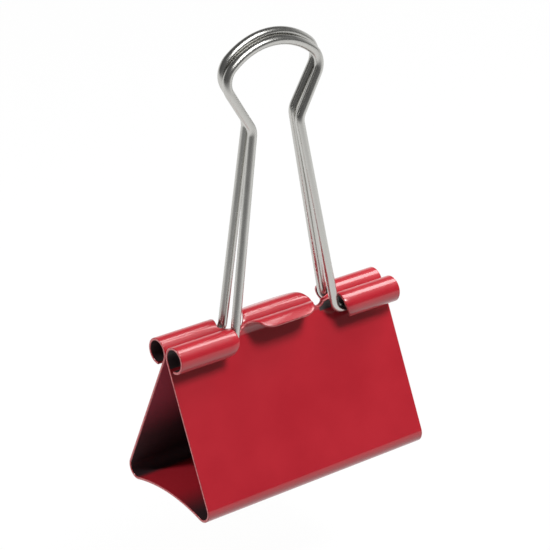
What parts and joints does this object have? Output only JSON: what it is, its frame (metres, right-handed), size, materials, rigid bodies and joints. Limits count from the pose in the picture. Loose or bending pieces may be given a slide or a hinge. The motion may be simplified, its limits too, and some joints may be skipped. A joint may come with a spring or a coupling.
{
  "type": "binder clip",
  "caption": "Bent spring-steel clip with a triangular body, rolled barrels along its lips and wire loop handles that fold flat against its sides to grip a stack.",
  "frame": {"origin": "middle of the plane the clip stands on, midway between its two bottom bends and its two ends", "axes": "+X along the barrels, -Y towards the front jaw, +Z from the spine up to the mouth and the handles"},
  "size_m": [0.051, 0.025, 0.0847],
  "materials": {
    "paint": "gloss",
    "plating": "polished"
  },
  "bodies": {
    "spine": {"spine": "paint"},
    "front_jaw": {"front_jaw": "paint"},
    "rear_jaw": {"rear_jaw": "paint"},
    "front_handle": {"front_handle": "plating"},
    "rear_handle": {"rear_handle": "plating"}
  },
  "joints": [
    {"name": "front_open", "type": "hinge", "parent": "spine", "child": "front_jaw", "pos_m": [0, -0.0102, 0.0023], "axis": [1, 0, 0], "range_deg": [0, 25], "stiffness_Nm_per_rad": 0.02},
    {"name": "rear_open", "type": "hinge", "parent": "spine", "child": "rear_jaw", "pos_m": [0, 0.0102, 0.0023], "axis": [-1, 0, 0], "range_deg": [0, 25], "stiffness_Nm_per_rad": 0.02},
    {"name": "front_fold", "type": "hinge", "parent": "front_jaw", "child": "front_handle", "pos_m": [0, -0.00241, 0.02885], "axis": [1, 0, 0], "range_deg": [0, 161]},
    {"name": "rear_fold", "type": "hinge", "parent": "rear_jaw", "child": "rear_handle", "pos_m": [0, 0.00186, 0.0298], "axis": [-1, 0, 0], "range_deg": [0, 155]}
  ],
  "couplings": [
    {"joint": "rear_open", "follows": "front_open", "ratio": 1}
  ]
}
